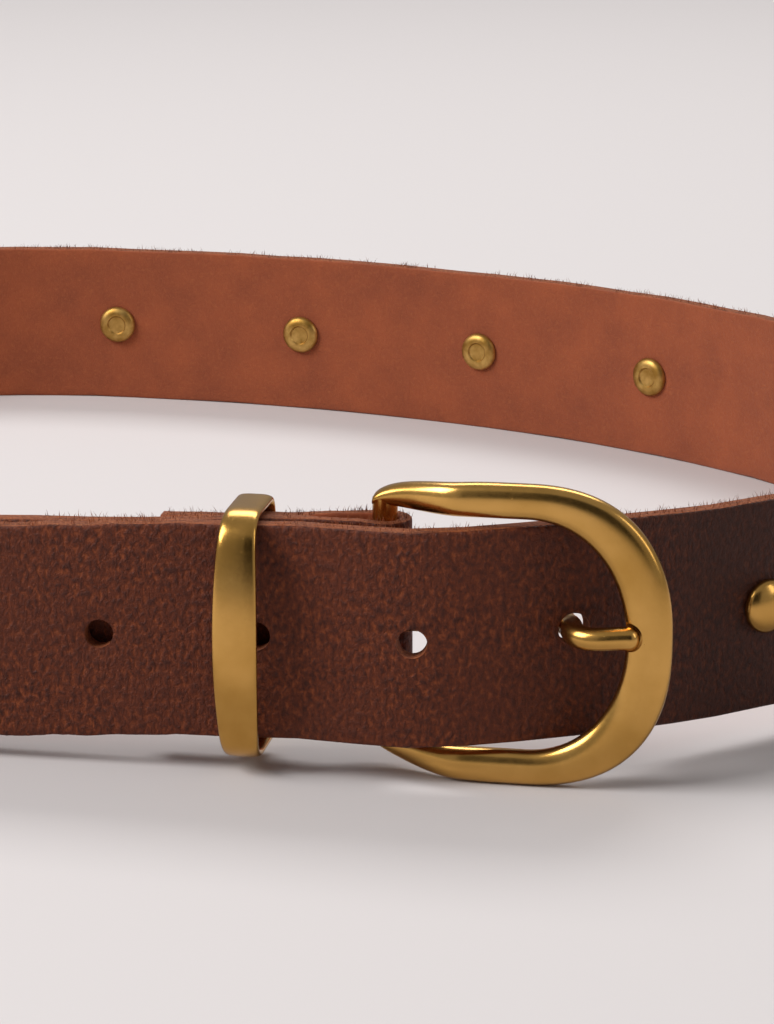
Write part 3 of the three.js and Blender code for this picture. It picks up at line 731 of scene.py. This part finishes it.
# The frame's band: arms that curve back to the bar, and a round end between them.
def bandPlace(u, v):
    size = buckleSizes
    turn = size["length"] - size["endDepth"]
    halves = (size["opening"] / 2, frameHeight / 2)
    reaches = (size["endDepth"] - size["end"], size["endDepth"])
    powers = (2 / 2.1, 2 / size["squareness"])
    armShare = 0.24
    if armShare <= u <= 1 - armShare:
        angle = math.pi / 2 - math.pi * (u - armShare) / (1 - 2 * armShare)
        edges = [Vector((turn + reaches[i] * abs(math.cos(angle)) ** powers[i],
                         halves[i] * math.copysign(abs(math.sin(angle)) ** powers[i], angle)))
                 for i in (0, 1)]
        tip = 1
    else:
        sign = 1 if u < 0.5 else -1
        share = min(u, 1 - u) / armShare
        x = -size["heel"] + share ** 1.7 * (turn + size["heel"])
        left = 1 - min(1, (x + size["heel"]) / size["taperReach"])
        narrow = size["taper"] * (1 - math.sqrt(1 - left * left))
        edges = [Vector((x, sign * halves[0])), Vector((x, sign * (halves[1] - narrow)))]
        tip = 0.62 + 0.38 * math.sqrt(min(1, share * 2))
    centre, half = (edges[0] + edges[1]) / 2, (edges[1] - edges[0]) / 2
    angle = 2 * math.pi * v
    across = math.copysign(abs(math.cos(angle)) ** 0.85, math.cos(angle))
    deep = math.copysign(abs(math.sin(angle)) ** 0.85, math.sin(angle))
    x = centre.x + half.x * across
    back = 1 - smooth((x + size["heel"]) / size["backReach"])
    y = frameY + size["setBack"] * back + size["thickness"] / 2 * deep * tip
    return x, y, frameZ + centre.y + half.y * across


def makeBuckle():
    band = formedGrid("buckle", 200, 36, bandPlace)
    deselectAll()
    bpy.ops.mesh.primitive_cylinder_add(vertices=40, radius=strapSizes["barDiameter"] / 2 * mm,
                                        depth=(buckleSizes["opening"] + 2) * mm,
                                        location=toWorld(0, strapSizes["barBehind"], frameZ))
    bar = bpy.context.object
    bpy.ops.object.transform_apply(location=True, rotation=False, scale=True)
    booleanWith(band, bar, "UNION")
    radius = prongSizes["wire"] / 2 + 0.5
    roundX = prongTip + 0.35 - radius
    depth = 2 * buckleSizes["thickness"]
    floorY = prongY + prongSizes["wire"] / 2 + 0.3
    deselectAll()
    long = buckleSizes["end"] + 2 * radius
    bpy.ops.mesh.primitive_cube_add(
        size=1, location=toWorld(roundX - buckleSizes["end"] / 2, floorY - depth / 2, prongZ),
        scale=(long * mm, depth * mm, 2 * radius * mm))
    bpy.ops.object.transform_apply(location=True, rotation=False, scale=True)
    tool = bpy.context.object
    bpy.ops.object.mode_set(mode="EDIT")
    selectPart(tool, "edges", lambda e: abs(e.verts[0].co.y - e.verts[1].co.y) > 5 * mm)
    bpy.ops.mesh.bevel(offset=radius * 0.98 * mm, segments=10, affect="EDGES")
    bpy.ops.object.mode_set(mode="OBJECT")
    booleanWith(band, tool, "DIFFERENCE")
    band.data.materials.clear()
    band.data.materials.append(castBrass)
    smoothBelow(band, 42)
    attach(band, "buckle")
    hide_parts("buckle_frame")
    return band


# A centripetal Catmull-Rom curve through the points.
def smoothPath(points, steps):
    points = [np.array(p, float) for p in points]
    ends = [2 * points[0] - points[1], *points, 2 * points[-1] - points[-2]]
    path = []
    for a, b, c, d in zip(ends, ends[1:], ends[2:], ends[3:]):
        ab, bc, cd = (max(1e-6, np.linalg.norm(q - p)) ** 0.5 for p, q in ((a, b), (b, c), (c, d)))
        m1 = bc * ((b - a) / ab - (c - a) / (ab + bc)) + (c - b)
        m2 = bc * ((d - c) / cd - (d - b) / (bc + cd)) + (c - b)
        for i in range(steps):
            t = i / steps
            path.append((2 * t ** 3 - 3 * t ** 2 + 1) * b + (t ** 3 - 2 * t ** 2 + t) * m1
                        + (3 * t ** 2 - 2 * t ** 3) * c + (t ** 3 - t ** 2) * m2)
    path.append(points[-1])
    return np.array(path)


def makeProng():
    size = prongSizes
    behind = strapSizes["barBehind"]
    holeX, holeY = prongPoint
    eyeMiddle = strapSizes["barDiameter"] / 2 + strapSizes["gap"] + size["eyeWall"] / 2
    curl = [(eyeMiddle * math.cos(math.radians(a)), behind + eyeMiddle * math.sin(math.radians(a)))
            for a in range(-30, 251, 20)]
    route = curl + [(1, behind - eyeMiddle), (8, behind - eyeMiddle + 0.3), (15, behind - eyeMiddle + 2),
                    (holeX - 6, holeY + 3.9), (holeX - 2.4, holeY + size["rise"]), (holeX - 1.5, holeY + 2),
                    (holeX - 0.2, holeY), (holeX + 0.3, holeY - 2.2), (holeX + 1.4, prongY + 1.4),
                    (holeX + 3.6, prongY), (prongTip, prongY)]
    line = Route([smoothPath(route, 12)])
    eyeLength = eyeMiddle * math.radians(285)

    def wire(u, v):
        s = u * line.total
        (x, y), _, normal = line.at(s)
        grown = smooth((s - eyeLength) / 8)
        flatHalf = size["eyeWall"] / 2 * 0.95 + (size["wire"] / 2 - size["eyeWall"] / 2 * 0.95) * grown
        left = (line.total - s) / 1.7
        end = math.sqrt(max(0.0004, 1 - (1 - left) ** 2)) if left < 1 else 1
        angle = 2 * math.pi * v
        out = flatHalf * end * math.cos(angle)
        dip = size["dip"] * smooth((prongTip - 1 - x) / 8) * smooth((x - 10) / 9)
        level = prongZ - dip + size["wire"] / 2 * end * math.sin(angle)
        return x + normal[0] * out, y + normal[1] * out, level

    prong = formedGrid("prong_wire", 260, 28, wire)
    prong.data.materials.append(castBrass)
    smoothBelow(prong, 50)
    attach(prong, "prong")
    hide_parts("prong")
    return prong


keeperSizes = {
    "metal": 1.6, "play": 1.3, "hang": 0.5, "bow": 3.5, "sideGap": 1.15, "corner": 3.8, "backCorner": 1,
    "narrowing": 0.6,  # the front is this much narrower on each side at its ends
}


# The point that lies a given reach from corner i, round a closed outline.
def walkFrom(outline, i, step, reach):
    walked, here = 0, outline[i]
    while True:
        i = (i + step) % len(outline)
        there = outline[i]
        length = np.linalg.norm(there - here)
        if walked + length >= reach:
            return here + (there - here) * (reach - walked) / length
        walked, here = walked + length, there


def keeperPath():
    size = keeperSizes
    grow = size["metal"] / 2
    front = -strapSizes["thickness"] / 2 - size["sideGap"] - grow
    back = turnY + strapSizes["thickness"] / 2 + strapSizes["gap"] + grow
    half = strapSizes["width"] / 2 + size["play"] + grow
    bowed = [(front - size["bow"] * (1 - (z / half) ** 2), z) for z in np.linspace(-half, half, 41)]
    frontCorner, backCorner = size["corner"] + grow, size["backCorner"] + grow
    corners = [(bowed[0], frontCorner), (bowed[-1], frontCorner),
               ((back, half), backCorner), ((back, -half), backCorner)]
    outline = [np.array(p) for p in bowed + [(back, half), (back, -half)]]
    turned = []
    for i, p in enumerate(outline):
        rounding = next((r for c, r in corners if np.allclose(c, p)), 0)
        if rounding:
            a, b = walkFrom(outline, i, -1, rounding), walkFrom(outline, i, 1, rounding)
            turned += [(1 - t) ** 2 * a + 2 * t * (1 - t) * p + t * t * b for t in np.linspace(0, 1, 14)]
        elif min(np.linalg.norm(p - np.array(c)) - r for c, r in corners) > 0.05:
            turned.append(p)
    turned.append(turned[0])
    return Route([np.array(turned)])


def makeKeeper():
    line = keeperPath()
    centreZ = lifts["keeper"] - keeperSizes["hang"] + strapSizes["width"] / 2

    def bandAt(u, v):
        (y, z), _, normal = line.at((u % 1) * line.total)
        angle = 2 * math.pi * v
        out = keeperSizes["metal"] / 2 * math.copysign(abs(math.sin(angle)) ** 0.8, math.sin(angle))
        half = strapSizes["keeperWidth"] / 2 - keeperSizes["narrowing"] * (z * 2 / strapSizes["width"]) ** 2
        side = half * math.copysign(abs(math.cos(angle)) ** 0.55, math.cos(angle))
        return -strapSizes["keeperX"] + side, y - normal[0] * out, centreZ + z - normal[1] * out

    keeper = formedGrid("keeper_band", 220, 32, bandAt)
    keeper.data.materials.append(castBrass)
    smoothBelow(keeper, 50)
    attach(keeper, "keeper")
    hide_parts("keeper")
    return keeper


makeBuckle()
makeProng()
makeKeeper()
print("buckle, prong and keeper")


def placeCopy(model, name, spot, inward, level):
    obj = model.copy()
    obj.data = model.data.copy()
    obj.name = obj.data.name = name
    bpy.context.collection.objects.link(obj)
    turn = Matrix.Rotation(math.atan2(inward[1], inward[0]) - math.pi / 2, 4, "Z")
    obj.data.transform(Matrix.Translation(toWorld(spot[0], spot[1], level)) @ turn)
    return obj


def finishMetal(obj, material, body, node):
    obj.data.materials.clear()
    obj.data.materials.append(material)
    smoothBelow(obj, 38)
    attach(obj, body)
    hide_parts(node)


screwSizes = {"fromBar": (12.1, 30.8), "head": 8, "headHeight": 0.9, "sunk": 0.35, "barrel": 5,
              "shank": 2.6}


def makeScrews():
    size = screwSizes
    r, seat = size["head"] / 2, size["sunk"]
    depth = 2 * strapSizes["thickness"] + strapSizes["gap"]
    barrelEnd = depth - seat - 1.2
    barrel = turnedPiece("barrelModel", [
        (0, seat - size["headHeight"]), (r - 0.5, seat - size["headHeight"]),
        (r - 0.15, seat - size["headHeight"] + 0.2), (r, seat - 0.35), (r, seat),
        (size["barrel"] / 2, seat), (size["barrel"] / 2, barrelEnd),
        (size["shank"] / 2 + 0.3, barrelEnd), (size["shank"] / 2 + 0.3, seat + 1.2), (0, seat + 1.2)])
    top = depth - seat
    closing = turnedPiece("screwModel", [
        (0, seat + 2.6), (size["shank"] / 2 - 0.3, seat + 2.6), (size["shank"] / 2, seat + 2.9),
        (size["shank"] / 2, top), (r, top), (r, top + 0.35), (r - 0.15, top + size["headHeight"] - 0.2),
        (r - 0.5, top + size["headHeight"]), (0, top + size["headHeight"])])
    deselectAll()
    bpy.ops.mesh.primitive_cube_add(size=1, location=(0, (top + size["headHeight"]) * mm, 0),
                                    scale=(2 * size["head"] * mm, 0.9 * mm, 1.1 * mm))
    bpy.ops.object.transform_apply(location=True, rotation=False, scale=True)
    booleanWith(closing, bpy.context.object, "DIFFERENCE")
    for index, fromBar in enumerate(size["fromBar"], 1):
        spot = (-fromBar, bodyY - strapSizes["thickness"] / 2)
        level = float(bodyLift(bodyRoute.ends[3] + strapSizes["partX"] + fromBar)) + strapSizes["width"] / 2
        for model, kind in ((barrel, "fold_screw_barrel"), (closing, "fold_screw")):
            obj = placeCopy(model, f"{kind}_brass_{index}", spot, (0, 1), level)
            finishMetal(obj, dullBrass, "strap", f"{kind}_{index}")
    for model in (barrel, closing):
        bpy.data.objects.remove(model)


def makeStuds():
    size = studSizes
    outer = strapSizes["thickness"] / 2 + 0.05
    cap, back = size["cap"] / 2, size["back"] / 2
    postEnd = strapSizes["thickness"] / 2 - 0.2
    dome = [(cap * math.sin(a), -outer - 0.5 - (size["capHeight"] - 0.5) * math.cos(a))
            for a in np.linspace(0, math.pi / 2, 12)]
    front = turnedPiece("capModel", dome + [
        (cap, -outer - 0.2), (cap - 0.2, -outer), (size["post"] / 2, -outer), (size["post"] / 2, postEnd),
        (size["pinSize"] / 2 + 0.3, postEnd), (size["pinSize"] / 2 + 0.3, 0), (0, 0)])
    behind = turnedPiece("backModel", [
        (0, 0.3), (size["pinSize"] / 2, 0.3), (size["pinSize"] / 2, outer), (back - 0.3, outer),
        (back, outer + 0.3), (back - 0.1, outer + 0.75), (back * 0.86, outer + size["backHeight"] * 0.82),
        (back * 0.62, outer + size["backHeight"]), (back * 0.52, outer + size["backHeight"] * 0.96),
        (back * 0.45, outer + size["backHeight"] * 0.72), (0, outer + size["backHeight"] * 0.66)])
    for index, s in enumerate(studLengths, 1):
        spot, _, inward = bodyRoute.at(s)
        level = float(bodyLift(s)) + strapSizes["width"] / 2
        obj = placeCopy(front, f"stud_cap_{index:02d}", spot, inward, level)
        finishMetal(obj, castBrass, "strap", f"stud_{index:02d}")
        obj = placeCopy(behind, f"stud_cap_back_{index:02d}", spot, inward, level)
        finishMetal(obj, dullBrass, "strap", f"stud_back_{index:02d}")
    for model in (front, behind):
        bpy.data.objects.remove(model)


makeScrews()
makeStuds()
print("screws and", len(studLengths), "studs")


# Distances in metres. The camera stands in front of the buckle, a little to its right, looking down.
viewSizes = {"lens": 116.02, "side": 0.087, "back": 0.4851, "height": 0.1782, "yaw": 10, "pitch": 15.28}
stageLook = {"floor": "#D3CDCC", "world": "#E9E8E8", "worldStrength": 0.42, "card": "#141210"}


def makeStage():
    deselectAll()
    bpy.ops.mesh.primitive_plane_add(size=8)
    floor = named("floor")
    material, _, shader = startMaterial("matt_paper")
    shader.inputs["Base Color"].default_value = hexColour(stageLook["floor"])
    shader.inputs["Roughness"].default_value = 0.8
    floor.data.materials.append(material)
    # A dark card behind the camera, for the brass to mirror.
    bpy.ops.mesh.primitive_plane_add(size=1, location=(0.35, -1.15, 0.62), rotation=(math.pi / 2, 0, 0),
                                     scale=(0.9, 0.55, 1))
    card = named("dark_card")
    material, _, shader = startMaterial("black_card")
    shader.inputs["Base Color"].default_value = hexColour(stageLook["card"])
    shader.inputs["Roughness"].default_value = 0.9
    card.data.materials.append(material)
    card.visible_camera = False
    world = bpy.data.worlds.new("studio")
    bpy.context.scene.world = world
    world.use_nodes = True
    background = world.node_tree.nodes["Background"]
    background.inputs["Color"].default_value = hexColour(stageLook["world"])
    background.inputs["Strength"].default_value = stageLook["worldStrength"]


def addLight(name, place, target, size, power):
    data = bpy.data.lights.new(name, "AREA")
    data.shape = "RECTANGLE"
    data.size, data.size_y = size
    data.energy = power
    light = bpy.data.objects.new(name, data)
    bpy.context.collection.objects.link(light)
    light.location = place
    light.rotation_euler = (Vector(target) - Vector(place)).to_track_quat("-Z", "Y").to_euler()


def makeCamera():
    data = bpy.data.cameras.new("camera")
    data.lens = viewSizes["lens"]
    data.sensor_width = 36
    data.clip_start = 0.01
    camera = bpy.data.objects.new("camera", data)
    bpy.context.collection.objects.link(camera)
    camera.location = (barWorld.x + viewSizes["side"],
                       barWorld.y - strapSizes["barBehind"] * mm - viewSizes["back"], viewSizes["height"])
    yaw, pitch = math.radians(viewSizes["yaw"]), math.radians(viewSizes["pitch"])
    camera.rotation_euler = (math.pi / 2 - pitch, 0, yaw)
    bpy.context.scene.camera = camera


makeStage()
middle = (0, 0, 0.02)
addLight("softbox_left", (-1.0, -0.6, 1.0), middle, (0.8, 0.8), 20)
addLight("softbox_right", (1.2, -0.3, 0.7), middle, (0.3, 0.8), 2)
addLight("softbox_back", (0.0, 0.9, 1.3), middle, (1.2, 0.6), 12)
makeCamera()
bpy.context.scene.view_settings.view_transform = "Standard"
